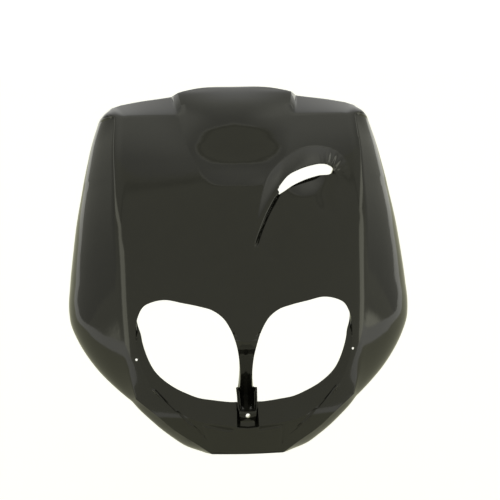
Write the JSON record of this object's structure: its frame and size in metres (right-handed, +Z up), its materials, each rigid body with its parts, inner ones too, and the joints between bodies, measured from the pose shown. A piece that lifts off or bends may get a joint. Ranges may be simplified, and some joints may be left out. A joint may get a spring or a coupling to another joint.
{
  "type": "scooter front panel",
  "caption": "Leaning gloss-black moulded front apron for a scooter, with paired headlight openings, an off-centre air scoop and side wings that wrap back.",
  "frame": {"origin": "centre of the screw hole at the foot of the bar between the headlights", "axes": "+Z up as mounted on the scooter, -Y forward (the way the face looks), +X to the viewer's right when facing the panel; the face leans back 24 degrees"},
  "size_m": [0.448, 0.3789, 0.3737],
  "materials": {
    "panel": "gloss black with a slight olive cast"
  },
  "bodies": {
    "root": {"front_panel": "panel"}
  },
  "joints": []
}
